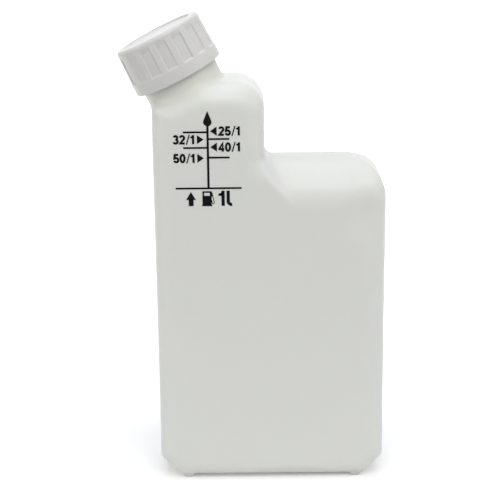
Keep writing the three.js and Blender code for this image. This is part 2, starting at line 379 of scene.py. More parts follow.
def soft_union(a, b, softness):
    """Joins two distance fields with a fillet."""
    overlap = np.clip(softness - np.abs(a - b), 0, None) / softness
    return np.minimum(a, b) - overlap * overlap * softness / 4


class BottleForm:
    """The bottle's shape as distance fields, negative inside and zero on the surface."""

    def __init__(self, sizes, neck):
        self.sizes, self.neck = sizes, neck
        s = sizes
        self.right = BOTTLE_HIGH.x
        self.left = self.right - s.width
        self.column_right = self.left + s.column_width
        slope_x = self.left + s.slope_from_wall
        tilt = math.atan2(-NECK_AXIS.x, NECK_AXIS.z)
        slope_end = s.column_height - s.slope_from_wall * math.tan(tilt)
        base = s.foot_height
        self.outline = Outline([
            (self.left + s.chamfer, base, s.bend),
            (self.right - s.chamfer, base, s.bend),
            (self.right, base + s.chamfer, s.bend),
            (self.right, s.shoulder_height, s.shoulder_end),
            (self.column_right, s.shoulder_height, s.crotch),
            (self.column_right, s.column_height, s.column_corner),
            (slope_x, s.column_height, s.column_corner),
            (self.left, slope_end, s.bend),
            (self.left, base + s.chamfer, s.bend),
        ])

    def rounding(self, x, z):
        """Radius of the edge between faces and sides: a full round over the shoulder, less elsewhere.

        The full round ends in a soft crease that runs down and to the right from the inner corner.
        """
        s = self.sizes
        full = s.depth / 2
        below = np.maximum(s.shoulder_height - z, 0)
        lean, widening = 0.42, 0.2
        crease = self.column_right + 1 * MM + lean * below
        spread = 2 * MM + widening * below
        over_shoulder = ramp(x, crease - spread, crease + spread)
        before_corner = 1 - ramp(x, self.right - 18 * MM, self.right - 1 * MM)
        high = ramp(z, s.shoulder_height - 64 * MM, s.shoulder_height - full)
        over_column = ramp(z, s.shoulder_height, s.column_height - s.roof_radius)
        shoulder = (full - s.edge_radius) * over_shoulder * before_corner * high
        roof = (s.roof_radius - s.edge_radius) * over_column * (1 - over_shoulder)
        base = (s.base_radius - s.edge_radius) * (1 - ramp(z, 10 * MM, 45 * MM))
        return s.edge_radius + shoulder + roof + base

    def box(self):
        """Two corners of a box round the bottle and the foot of its neck."""
        s, room = self.sizes, 4 * MM
        reach = self.neck.bead_radius + room
        return ((min(self.left - room, RIM_CENTRE.x - reach), MID_DEPTH - s.depth / 2 - room, -room),
                (self.right + room, MID_DEPTH + s.depth / 2 + room, RIM_CENTRE.z + reach))

    def parting_path(self):
        """Points round the outline at mid depth, from one side of the neck to the other."""
        route = self.outline.points(0.8 * MM)
        dx, dz = route[:, 0] - RIM_CENTRE.x, route[:, 1] - RIM_CENTRE.z
        across = np.abs(dx * NECK_AXIS.z - dz * NECK_AXIS.x)
        along = dx * NECK_AXIS.x + dz * NECK_AXIS.z
        clear = ~((across < self.neck.radius - 1 * MM) & (along > -self.sizes.depth / 2))
        first = next(i for i in range(len(clear)) if clear[i] and not clear[i - 1])
        order = np.roll(np.arange(len(route)), -first)
        return [(x, MID_DEPTH, z) for x, z in route[order][clear[order]]]

    def blown(self, x, y, z):
        """Distance to the outer surface of the bottle without its neck and feet."""
        across = self.outline.distance(x, z)
        radius = self.rounding(x, z)
        u = across + radius
        v = np.abs(y - MID_DEPTH) - (self.sizes.depth / 2 - radius)
        return np.minimum(np.maximum(u, v), 0) + np.hypot(np.maximum(u, 0), np.maximum(v, 0)) - radius

    def foot(self, x, y, z, side, inset):
        """Distance to one moulded foot."""
        s = self.sizes
        centre = (self.left + self.right) / 2 + side * (s.width / 2 - s.foot_from_wall - s.foot_width / 2)
        soft = 1.2 * MM
        top = s.foot_height + 3 * MM
        dx = np.abs(x - centre) - (s.foot_width / 2 - inset - soft)
        dy = np.abs(y - MID_DEPTH) - (s.foot_length / 2 - inset - soft)
        dz = np.abs(z - (inset + top) / 2) - ((top - inset) / 2 - soft)
        outside = np.sqrt(np.maximum(dx, 0) ** 2 + np.maximum(dy, 0) ** 2 + np.maximum(dz, 0) ** 2)
        return outside + np.minimum(np.maximum(np.maximum(dx, dy), dz), 0) - soft

    def tube(self, x, y, z, radius, top):
        """Distance to a round rod on the neck's axis that ends at the height top."""
        dx, dy, dz = x - RIM_CENTRE.x, y - RIM_CENTRE.y, z - RIM_CENTRE.z
        along = dx * NECK_AXIS.x + dy * NECK_AXIS.y + dz * NECK_AXIS.z
        radial = np.sqrt(np.maximum(dx * dx + dy * dy + dz * dz - along * along, 0))
        foot = -self.sizes.depth / 2
        return np.maximum(radial - radius, np.maximum(along - top, foot - along))

    def outer(self, x, y, z):
        """Distance to the outside, with the neck up to its bead."""
        form = self.blown(x, y, z)
        for side in (-1, 1):
            form = soft_union(form, self.foot(x, y, z, side, 0), 1.0 * MM)
        top = self.neck.bead_height + 1.5 * MM
        return soft_union(form, self.tube(x, y, z, self.neck.radius, top), self.neck.fillet)

    def inner(self, x, y, z):
        """Distance to the hollow, with the bore up to above the bead."""
        form = self.blown(x, y, z) + self.sizes.wall
        top = self.neck.bead_height + 5 * MM
        bore = self.neck.radius - self.neck.wall
        return soft_union(form, self.tube(x, y, z, bore, top), self.neck.fillet)


def nets(field, low, high, step):
    """Points and four-sided faces on the zero surface of a field, one point for each grid cell it crosses."""
    axes = [np.arange(a, b + step, step) for a, b in zip(low, high)]
    grid = np.meshgrid(*axes, indexing="ij")
    value = field(*grid)
    inside = value < 0
    shape = np.array(value.shape) - 1
    total = np.zeros((*shape, 3))
    count = np.zeros(shape)
    corners = [(i, j, k) for i in (0, 1) for j in (0, 1) for k in (0, 1)]
    cut = {c: tuple(slice(d, d + n) for d, n in zip(c, shape)) for c in corners}
    for first in corners:
        for axis in range(3):
            if first[axis]:
                continue
            second = tuple(1 if i == axis else c for i, c in enumerate(first))
            a, b = value[cut[first]], value[cut[second]]
            crossed = (a < 0) != (b < 0)
            share = np.where(crossed, a / np.where(crossed, a - b, 1), 0)
            for i in range(3):
                total[..., i] += np.where(crossed, first[i] + (share if i == axis else 0), 0)
            count += crossed
    active = count > 0
    index = np.full(shape, -1)
    index[active] = np.arange(active.sum())
    cell = np.argwhere(active)
    points = np.array([a[0] for a in axes]) + (cell + total[active] / count[active][:, None]) * step
    faces = []
    for axis in range(3):
        one, two = (axis + 1) % 3, (axis + 2) % 3
        near = np.take(inside, range(shape[axis]), axis)
        far = np.take(inside, range(1, shape[axis] + 1), axis)
        edges = np.argwhere(near != far)
        a, b = edges[:, one], edges[:, two]
        edges = edges[(a > 0) & (b > 0) & (a < shape[one]) & (b < shape[two])]
        ring = []
        for da, db in ((1, 1), (0, 1), (0, 0), (1, 0)):
            place = edges.copy()
            place[:, one] -= da
            place[:, two] -= db
            ring.append(index[tuple(place.T)])
        quads = np.stack(ring, 1)
        leaving = near[tuple(edges.T)]
        faces.append(np.where(leaving[:, None], quads, quads[:, ::-1]))
    return points, np.concatenate(faces)


def settled(points, faces, field, rounds):
    """Evens out the points and lays them exactly on the field's surface."""
    reach = 0.01 * MM

    def slope(p):
        parts = []
        for i in range(3):
            step = np.zeros(3)
            step[i] = reach
            parts.append((field(*(p + step).T) - field(*(p - step).T)) / (2 * reach))
        return np.stack(parts, 1)

    def onto(p):
        way = slope(p)
        size = np.maximum((way ** 2).sum(1), 0.05)
        return p - way * (field(*p.T) / size)[:, None]

    pairs = np.concatenate([faces[:, [i, (i + 1) % 4]] for i in range(4)])
    degree = np.bincount(pairs[:, 0], minlength=len(points))[:, None]
    points = onto(onto(points))
    for _ in range(rounds):
        mean = np.zeros_like(points)
        for i in range(3):
            mean[:, i] = np.bincount(pairs[:, 0], points[pairs[:, 1], i], minlength=len(points))
        points = onto(points + 0.5 * (mean / degree - points))
    return onto(points)


def surface(name, field, box, step, rounds):
    """An object on the zero surface of a field."""
    points, faces = nets(field, *box, step)
    return solid(name, settled(points, faces, field, rounds), faces)


def lathe(name, profile, angles):
    """A closed turned form about Z, whose profile starts on the axis and goes round the solid back to it,
    or else runs in a closed ring."""
    open_loop = profile[0][0] == 0
    points, rings = [], []
    for radius, height in profile:
        if radius == 0:
            rings.append([len(points)] * len(angles))
            points.append((0, 0, height))
        else:
            rings.append(list(range(len(points), len(points) + len(angles))))
            points += [(radius * math.cos(a), radius * math.sin(a), height) for a in angles]
    faces = []
    for low, high in zip(rings, rings[1:] if open_loop else rings[1:] + rings[:1]):
        for i in range(len(angles)):
            j = (i + 1) % len(angles)
            corners = [low[i], low[j], high[j], high[i]]
            faces.append([c for k, c in enumerate(corners) if c != corners[k - 1]])
    obj = solid(name, points, faces)
    shell = bmesh.new()
    shell.from_mesh(obj.data)
    if shell.calc_volume(signed=True) < 0:
        bmesh.ops.reverse_faces(shell, faces=shell.faces)
    shell.to_mesh(obj.data)
    shell.free()
    return obj


def rounded(corners, spacing=0.12 * MM):
    """A profile whose corners (radius, height, rounding) are rounded."""
    route = []
    for i, (r, h, rounding) in enumerate(corners):
        if rounding == 0:
            route.append((r, h))
            continue
        before, here, after = (np.array(corners[k % len(corners)][:2]) for k in (i - 1, i, i + 1))
        centre, start, end, _, half = corner_arc(before, here, after, rounding)
        turn = math.pi - 2 * half
        steps = max(3, math.ceil(turn * rounding / spacing))
        for t in np.arange(steps + 1) / steps:
            spot = math.sin((1 - t) * turn) * (start - centre) + math.sin(t * turn) * (end - centre)
            route.append(tuple(centre + spot / math.sin(turn)))
    return route


def even_angles(count):
    """This many angles round a circle."""
    return [2 * math.pi * i / count for i in range(count)]


def group_with(name, floats, ints=()):
    """A geometry node tree that takes geometry, named numbers and a material, and gives geometry."""
    tree = bpy.data.node_groups.new(name, "GeometryNodeTree")
    tree.is_modifier = True
    sockets = [("Geometry", "Geometry"), *((n, "Int") for n in ints), *((n, "Float") for n in floats)]
    for socket, kind in (*sockets, ("Material", "Material")):
        tree.interface.new_socket(socket, in_out="INPUT", socket_type="NodeSocket" + kind)
    tree.interface.new_socket("Geometry", in_out="OUTPUT", socket_type="NodeSocketGeometry")
    return tree, tree.nodes.new("NodeGroupInput").outputs


def grown(obj, tree, values):
    """Runs a node tree on an object with these named inputs, and keeps the result as plain mesh."""
    modifier = obj.modifiers.new(tree.name, "NODES")
    modifier.node_group = tree
    for item in tree.interface.items_tree:
        if item.in_out == "INPUT" and item.name in values:
            modifier[item.identifier] = values[item.name]
    return applied(obj)


def ended(tree, geometry, material):
    """Ends a tree in Realize Instances and Set Material."""
    real = add_node(tree, "GeometryNodeRealizeInstances", {"Geometry": geometry})
    painted = add_node(tree, "GeometryNodeSetMaterial", {"Geometry": real, "Material": material})
    add_node(tree, "NodeGroupOutput", {"Geometry": painted})


def thread_tree():
    """A ridge with a trapezium section along a right-hand spiral, which fades in and out at its ends."""
    tree, given = group_with("Thread ridge", ("Root radius", "Height", "Foot", "Tip", "Pitch", "Turns"))
    maths, times = partial(arithmetic, tree), partial(arithmetic, tree, "MULTIPLY")
    spiral = add_node(tree, "GeometryNodeCurveSpiral", {
        "Start Radius": given["Root radius"], "End Radius": given["Root radius"], "Rotations": given["Turns"],
        "Height": times(given["Pitch"], given["Turns"]), "Resolution": 64})
    upright = add_node(tree, "GeometryNodeSetCurveNormal", {"Curve": spiral}, mode="Z_UP")
    corners = ((-1, "Foot", 0), (-1, "Tip", 1), (1, "Tip", 1), (1, "Foot", 0))
    section = add_node(tree, "GeometryNodeCurvePrimitiveQuadrilateral", {
        f"Point {i + 1}": add_node(tree, "ShaderNodeCombineXYZ", {
            0: times(given["Height"], -out), 1: times(given[width], side / 2)})
        for i, (side, width, out) in enumerate(corners)}, mode="POINTS")
    factor = add_node(tree, "GeometryNodeSplineParameter").outputs["Factor"]
    to_end = maths("MINIMUM", factor, maths("SUBTRACT", 1.0, factor))
    fade = mapped(tree, to_end, 0.0, 0.05, 0.02, smooth=True)
    ridge = add_node(tree, "GeometryNodeCurveToMesh", {
        "Curve": upright, "Profile Curve": section, "Scale": fade, "Fill Caps": True})
    ended(tree, ridge, given["Material"])
    return tree


def parting_tree():
    """A thin round line along the path that comes in."""
    tree, given = group_with("Parting line", ("Thickness",))
    path = add_node(tree, "GeometryNodeMeshToCurve", {"Mesh": given["Geometry"]})
    section = add_node(tree, "GeometryNodeCurvePrimitiveCircle", {
        "Radius": given["Thickness"], "Resolution": 8})
    line = add_node(tree, "GeometryNodeCurveToMesh", {
        "Curve": path, "Profile Curve": section, "Fill Caps": True})
    ended(tree, line, given["Material"])
    return tree


def flute_tree():
    """Presses even hollows into the outside of a turned skirt that stands on Z."""
    floats = ("Outer from", "Depth", "Share", "Softness", "Clocking", "Bottom", "Bottom run", "Top",
              "Top run")
    tree, given = group_with("Cap flutes", floats, ("Flutes",))
    maths, times = partial(arithmetic, tree), partial(arithmetic, tree, "MULTIPLY")
    position = add_node(tree, "GeometryNodeInputPosition")
    x, y, z = add_node(tree, "ShaderNodeSeparateXYZ", {0: position}).outputs
    radius = maths("SQRT", maths("ADD", times(x, x), times(y, y)))
    around = maths("SUBTRACT", maths("ARCTAN2", y, x), given["Clocking"])
    turn = times(maths("DIVIDE", around, 2 * math.pi), given["Flutes"])
    off_centre = maths("ABSOLUTE", maths("SUBTRACT", maths("FRACT", turn), 0.5))
    pitch = maths("DIVIDE", times(radius, 2 * math.pi), given["Flutes"])
    inward = times(pitch, maths("SUBTRACT", times(given["Share"], 0.5), off_centre))
    half_soft = times(given["Softness"], 0.5)
    hollow = mapped(tree, inward, times(half_soft, -1.0), half_soft, smooth=True)
    run_from = maths("SUBTRACT", given["Top"], given["Top run"])
    run_out = mapped(tree, z, run_from, given["Top"], 1.0, 0.0, smooth=True)
    run_in = mapped(tree, z, given["Bottom"], maths("ADD", given["Bottom"], given["Bottom run"]))
    along = times(run_in, run_out)
    pressed = times(times(hollow, along), maths("DIVIDE", given["Depth"], radius))
    shift = add_node(tree, "ShaderNodeCombineXYZ", {
        i: times(times(way, pressed), -1.0) for i, way in enumerate((x, y))})
    outside = times(maths("GREATER_THAN", radius, given["Outer from"]),
                    maths("GREATER_THAN", z, given["Bottom"]))
    moved = add_node(tree, "GeometryNodeSetPosition", {
        "Geometry": given["Geometry"], "Selection": outside, "Offset": shift})
    ended(tree, moved, given["Material"])
    return tree


def combined(obj, others, operation):
    """Adds or takes away closed forms, and removes them."""
    for other in others:
        modifier = obj.modifiers.new("Join", "BOOLEAN")
        modifier.operation = operation
        modifier.solver = "MANIFOLD"
        modifier.object = other
    before = len(obj.data.polygons)
    applied(obj)
    if len(obj.data.polygons) in (0, before):
        raise RuntimeError(f"{obj.name} was not combined")
    for other in others:
        bpy.data.objects.remove(other)
    return obj


def placed(obj, matrix):
    """Moves an object's mesh, so that the object itself stays at the origin."""
    obj.data.transform(matrix)
    return obj


def thread(name, neck, root, height, start, start_angle, material):
    """A thread ridge about Z that sits in its wall at the root; a negative height points inwards."""
    sink = math.copysign(THREAD_SINK, height)
    ridge = grown(solid(name, [], []), thread_tree(), {
        "Root radius": root - sink, "Height": height + sink, "Foot": neck.thread_foot, "Tip": neck.thread_tip,
        "Pitch": neck.pitch, "Turns": neck.turns, "Material": material})
    return placed(ridge, Matrix.Translation((0, 0, start)) @ Matrix.Rotation(start_angle, 4, "Z"))


def surface_noise(tree, coordinates, size, detail=2.0):
    """Soft noise whose pattern is about this many metres wide."""
    return add_node(tree, "ShaderNodeTexNoise", {"Vector": coordinates, "Scale": 1 / size, "Detail": detail})


def blend(tree, factor, first, second):
    """The colour between two colours."""
    inputs = {"Factor": factor, MIX_A: first, MIX_B: second}
    return add_node(tree, "ShaderNodeMix", inputs, data_type="RGBA").outputs[MIX_RESULT]


# The sockets of a Mix node that hold colours, and the tint of thick plastic.
MIX_A, MIX_B, MIX_RESULT = 6, 7, 2
WARM = (0.9, 0.92, 0.78, 1.0)


def plastic(name, hex_colour, roughness, subsurface, depth, mottle, mottle_size, bump, bump_size, thick=None):
    """A plastic with slight clouds in its colour, uneven gloss and a fine skin texture.

    It looks warmer where it is thick: round a spot, from one distance to another, by a share.
    """
    material = bpy.data.materials.new(name)
    tree = cleared(material)
    where = add_node(tree, "ShaderNodeTexCoord").outputs["Object"]
    base = linear(hex_colour)
    darker = [c * (1 - mottle) for c in base[:3]] + [1.0]
    lighter = [min(1.0, c * (1 + mottle)) for c in base[:3]] + [1.0]
    tint = blend(tree, surface_noise(tree, where, mottle_size), darker, lighter)
    if thick:
        spot, near, far, share = thick
        away = add_node(tree, "ShaderNodeVectorMath", {0: where, 1: spot}, operation="DISTANCE")
        warmth = mapped(tree, away.outputs["Value"], near, far, share, 0.0, smooth=True)
        tint = blend(tree, warmth, tint, [c * part for c, part in zip(base, WARM)])
    spread = 0.02
    patches = surface_noise(tree, where, mottle_size / 4)
    gloss = mapped(tree, patches, 0.0, 1.0, roughness - spread, roughness + spread)
    skin = add_node(tree, "ShaderNodeBump", {
        "Height": surface_noise(tree, where, bump_size, 3.0), "Strength": bump, "Distance": bump_size / 10})
    shader = add_node(tree, "ShaderNodeBsdfPrincipled", {
        "Base Color": tint, "Roughness": gloss, "Normal": skin, "IOR": 1.54, "Subsurface Weight": subsurface,
        "Subsurface Scale": depth, "Subsurface Radius": (1.0, 1.0, 0.8)})
    add_node(tree, "ShaderNodeOutputMaterial", {"Surface": shader})
    return material


class MIXBOTTLE_OT_bottle(bpy.types.Operator):
    """Build the blow-moulded bottle with its neck, thread, feet and parting line"""
    bl_idname = "mixbottle.bottle"
    bl_label = "Bottle"
    bl_options = {"REGISTER", "UNDO"}

    def execute(self, context):
        kit = context.scene.mixing_bottle
        sizes, neck = kit.bottle, kit.neck
        near_neck = (RIM_CENTRE - NECK_AXIS * neck.radius * 0.5, neck.radius * 0.7, neck.radius * 1.4, 0.5)
        material = plastic("natural_polyethylene", kit.finish.bottle, roughness=0.4, subsurface=0.35,
                           depth=2.5 * MM, mottle=0.006, mottle_size=30 * MM, bump=0.05, bump_size=0.8 * MM,
                           thick=near_neck)
        form = BottleForm(sizes, neck)
        body = surface("blown_bottle", form.outer, form.box(), OUTER_GRID, 4)
        hollow = surface("hollow", form.inner, form.box(), INNER_GRID, 3)
        path = form.parting_path()
        line = solid("parting_line", path, [], [(i, i + 1) for i in range(len(path) - 1)])
        grown(line, parting_tree(), {"Thickness": sizes.parting_line, "Material": material})

        bead, inset = neck.bead_height, 0.1 * MM
        finish = lathe("finish", rounded([
            (0, 1 * MM, 0), (neck.radius - inset, 1 * MM, 0), (neck.radius - inset, bead, 0.2 * MM),
            (neck.bead_radius, bead + 0.15 * MM, 0.45 * MM), (neck.bead_radius, bead + 1.7 * MM, 0.45 * MM),
            (neck.radius, bead + 1.9 * MM, 0.3 * MM), (neck.radius, neck.height, 0.8 * MM),
            (0, neck.height, 0)]), even_angles(NECK_SIDES))
        bore = neck.radius - neck.wall + 0.08 * MM
        lip = neck.radius - neck.wall + 0.6 * MM
        cutter = lathe("bore", [
            (0, bead + 3.5 * MM), (bore, bead + 3.5 * MM), (bore, neck.height - 0.5 * MM),
            (lip, neck.height + 0.1 * MM), (lip, neck.height + 2 * MM), (0, neck.height + 2 * MM)],
            even_angles(NECK_SIDES))
        ridge = thread("neck_thread", neck, neck.radius, neck.thread_height, neck.thread_start, 0, material)
        for turned in (finish, cutter, ridge):
            placed(turned, neck_matrix())

        combined(body, [finish, ridge, line], "UNION")
        combined(body, [hollow, cutter], "DIFFERENCE")
        body.data.set_sharp_from_angle(angle=SHARP_ANGLE)
        finished(body, "bottle", material, ["bottle_body"])
        return {"FINISHED"}


class MIXBOTTLE_OT_cap(bpy.types.Operator):
    """Build the fluted screw cap and its thread"""
    bl_idname = "mixbottle.cap"
    bl_label = "Cap"
    bl_options = {"REGISTER", "UNDO"}

    def execute(self, context):
        kit = context.scene.mixing_bottle
        cap, neck = kit.cap, kit.neck
        material = plastic("white_cap_polyethylene", kit.finish.cap, roughness=0.38, subsurface=0.3,
                           depth=2 * MM, mottle=0.01, mottle_size=12 * MM, bump=0.05, bump_size=0.6 * MM)
        bore = neck.radius + neck.thread_height + cap.clearance
        inner_top = cap.height - cap.top_thickness - cap.recess_depth
        top_at = cap.height - cap.edge_radius
        band = cap.band_height
        lean = (cap.skirt_radius - cap.top_radius) / (top_at - band)
        # Rings stand close together where the hollows run in and out.
        rings = [*np.linspace(band + 0.1 * MM, band + 0.9 * MM, 7),
                 *np.linspace(band + 1.2 * MM, top_at - 4.2 * MM, 12),
                 *np.linspace(top_at - 4 * MM, top_at - 0.1 * MM, 16)]
        dish = cap.height - cap.recess_depth
        profile = rounded([
            (0, inner_top, 0), (bore, inner_top, 0.8 * MM), (bore, 0, 0.5 * MM),
            (cap.rim_radius, 0, 0.35 * MM), (cap.rim_radius, band, 0.25 * MM), (cap.skirt_radius, band, 0),
            *((cap.skirt_radius - lean * (h - band), h, 0) for h in rings),
            (cap.top_radius, cap.height, cap.edge_radius),
            (cap.recess_radius + 0.6 * MM, cap.height, 0.3 * MM), (cap.recess_radius, dish, 0.5 * MM),
            (0, dish, 0)])
        # So do the points round a rib, at the hollows' soft sides.
        edge = cap.flute_share / 2
        half = [0, 0.05, 0.1, 0.15, 0.2, 0.4, 0.45] + [edge + k * 0.0125 for k in range(-6, 7)]
        shares = sorted({round(0.5 + s, 5) for s in half} | {round(0.5 - s, 5) for s in half} | {0.0})
        angles = [cap.clocking + 2 * math.pi * (i + s) / cap.flutes
                  for i in range(cap.flutes) for s in shares]
        shell = grown(lathe("screw_cap_shell", profile[::-1], angles), flute_tree(), {
            "Flutes": cap.flutes, "Depth": cap.flute_depth, "Share": cap.flute_share,
            "Softness": cap.flute_softness, "Clocking": cap.clocking, "Outer from": bore + 1.2 * MM,
            "Bottom": band + 0.06 * MM, "Bottom run": 0.8 * MM,
            "Top": cap.height - cap.flute_top, "Top run": 3.6 * MM, "Material": material})
        ridge = thread("cap_thread", neck, bore, -neck.thread_height, cap.thread_start, CAP_THREAD_TURN,
                       material)
        combined(shell, [ridge], "UNION")
        placed(shell, neck_matrix())
        shell.data.set_sharp_from_angle(angle=SHARP_ANGLE)
        finished(shell, "cap", material, ["screw_cap"])
        return {"FINISHED"}


class MIXBOTTLE_OT_liner(bpy.types.Operator):
    """Build the foam disc that seals the mouth"""
    bl_idname = "mixbottle.liner"
    bl_label = "Liner"
    bl_options = {"REGISTER", "UNDO"}

    def execute(self, context):
        kit = context.scene.mixing_bottle
        cap, neck = kit.cap, kit.neck
        material = plastic("polyethylene_foam", kit.finish.liner, roughness=0.75, subsurface=0.1,
                           depth=1 * MM, mottle=0.02, mottle_size=4 * MM, bump=0.35, bump_size=0.35 * MM)
        radius = neck.radius + neck.thread_height + cap.clearance - cap.liner_clearance
        low = neck.height + cap.liner_gap
        high = low + cap.liner_thickness
        profile = rounded([(0, low, 0), (radius, low, 0.35 * MM), (radius, high, 0.35 * MM), (0, high, 0)])
        disc = placed(lathe("foam_liner", profile, even_angles(LINER_SIDES)), neck_matrix())
        disc.data.set_sharp_from_angle(angle=SHARP_ANGLE)
        finished(disc, "liner", material, ["cap_liner"])
        return {"FINISHED"}


def arc(x, z, rx, rz, first, last, steps=10):
    """Points on an ellipse's arc, with angles in degrees from +X towards +Z."""
    angles = [math.radians(first + (last - first) * i / steps) for i in range(steps + 1)]
    return [(x + rx * math.cos(a), z + rz * math.sin(a)) for a in angles]


# Strokes of the digits in a box one unit high: points, and the weight against the others.
DIGITS = {
    "0": [(arc(0.30, 0.50, 0.205, 0.405, 90, 450, 24), 1)],
    "1": [([(0.34, 0.0), (0.34, 1.0)], 1), ([(0.06, 0.73), (0.20, 0.75), (0.34, 0.86)], 0.8)],
    "2": [(arc(0.30, 0.69, 0.20, 0.215, 170, -35, 12) + [(0.10, 0.095), (0.56, 0.095)], 1)],
    "3": [(arc(0.29, 0.71, 0.18, 0.195, 165, -90, 12), 1), (arc(0.29, 0.305, 0.21, 0.21, 90, -165, 12), 1)],
    "4": [([(0.42, 0.0), (0.42, 0.93), (0.09, 0.33), (0.09, 0.27), (0.58, 0.27)], 0.95)],
    "5": [([(0.52, 0.905), (0.17, 0.905), (0.12, 0.50)] + arc(0.30, 0.325, 0.21, 0.23, 125, -165, 12), 1)],
    "/": [([(0.06, -0.05), (0.38, 1.05)], 0.55)],
}

# How far each character moves the next one on, and the gap after it.
DIGIT_ADVANCE, DIGIT_GAP = 0.66, 0.14
ADVANCE = {"/": 0.42, "1": 0.55}

# The tall letter of the litre sign.
TALL_L = [(0.14, 1.0), (0.14, 0.34)] + arc(0.34, 0.30, 0.20, 0.215, 180, 285, 8)

# Ratio, left end, foot and where its triangle points, in millimetres.
RATIOS = (("25/1", -18.0, 199.5, -22.4), ("40/1", -18.0, 190.9, -22.4),
          ("32/1", -42.15, 195.05, -25.9), ("50/1", -42.15, 184.95, -25.9))
RATIO_WIDTH = 11.1 * MM
POINTER_LENGTH = 3.5 * MM

# The height on which the signs under the litre line stand. Then each sign's left end, its filled outlines and
# its strokes (points, width, closed), all in millimetres.
SIGN_FOOT = 161.3
SIGNS = (
    (-35.8, [[(1.3, 0), (3.9, 0), (3.9, 3.4), (5.2, 3.4), (2.6, 7.8), (0, 3.4), (1.3, 3.4)]], []),
    (-27.1, [[(0, 0), (4.9, 0), (4.9, 5.1), (0, 5.1)], [(-0.3, -0.1), (5.2, -0.1), (5.2, 0.6), (-0.3, 0.6)],
             [(4.8, 5.1), (5.6, 5.5), (5.4, 7.1), (4.8, 7.9)]],
     [([(0.45, 5.1), (4.45, 5.1), (4.45, 7.65), (0.45, 7.65), (0.45, 5.1)], 0.9, True),
      ([(5.35, 6.1), (5.9, 3.7), *arc(5.75, 2, 0.55, 0.75, 0, -180), (4.95, 3.2)], 0.4, False)]))

# Where the litre sign's digit starts, how wide it is, and the way on to its letter.
LITRE_LEFT, ONE_WIDTH, LITRE_STEP = -19 * MM, 3.5 * MM, 4.5 * MM

# How far the ink reaches into the bottle's face.
INK_SINK = 0.05 * MM


def ribbon(points, width, closed=False):
    """Four-sided cells of a flat band along a path of points (x, z), with mitred corners."""
    path = np.array(points)
    if closed:
        path = path[:-1]
    before = np.roll(path, 1, 0)
    after = np.roll(path, -1, 0)
    if not closed:
        before[0] = 2 * path[0] - path[1]
        after[-1] = 2 * path[-1] - path[-2]
    first, second = path - before, after - path
    first /= np.linalg.norm(first, axis=1)[:, None]
    second /= np.linalg.norm(second, axis=1)[:, None]
    normal = np.stack([-(first + second)[:, 1], (first + second)[:, 0]], 1)
    normal /= np.linalg.norm(normal, axis=1)[:, None]
    reach = width / 2 / np.maximum((normal * np.stack([-first[:, 1], first[:, 0]], 1)).sum(1), 0.5)
    left, right = path + normal * reach[:, None], path - normal * reach[:, None]
    count = len(path)
    loops = [(i, (i + 1) % count) for i in range(count if closed else count - 1)]
    return np.concatenate([right, left]), [(i, j, j + count, i + count) for i, j in loops]


def slab(points, cells, front, back):
    """A closed upright plate: the cells of points (x, z) at the front, and the same at the back."""
    count = len(points)
    space = [(x, front, z) for x, z in points] + [(x, back, z) for x, z in points]
    faces = [tuple(cell) for cell in cells] + [tuple(i + count for i in reversed(cell)) for cell in cells]
    sides = {(cell[i - 1], cell[i]) for cell in cells for i in range(len(cell))}
    faces += [(b, a, a + count, b + count) for a, b in sides if (b, a) not in sides]
    return space, faces


def set_out(points, x, z, wide, high):
    """Points that are scaled and moved."""
    return [(x + px * wide, z + pz * high) for px, pz in points]


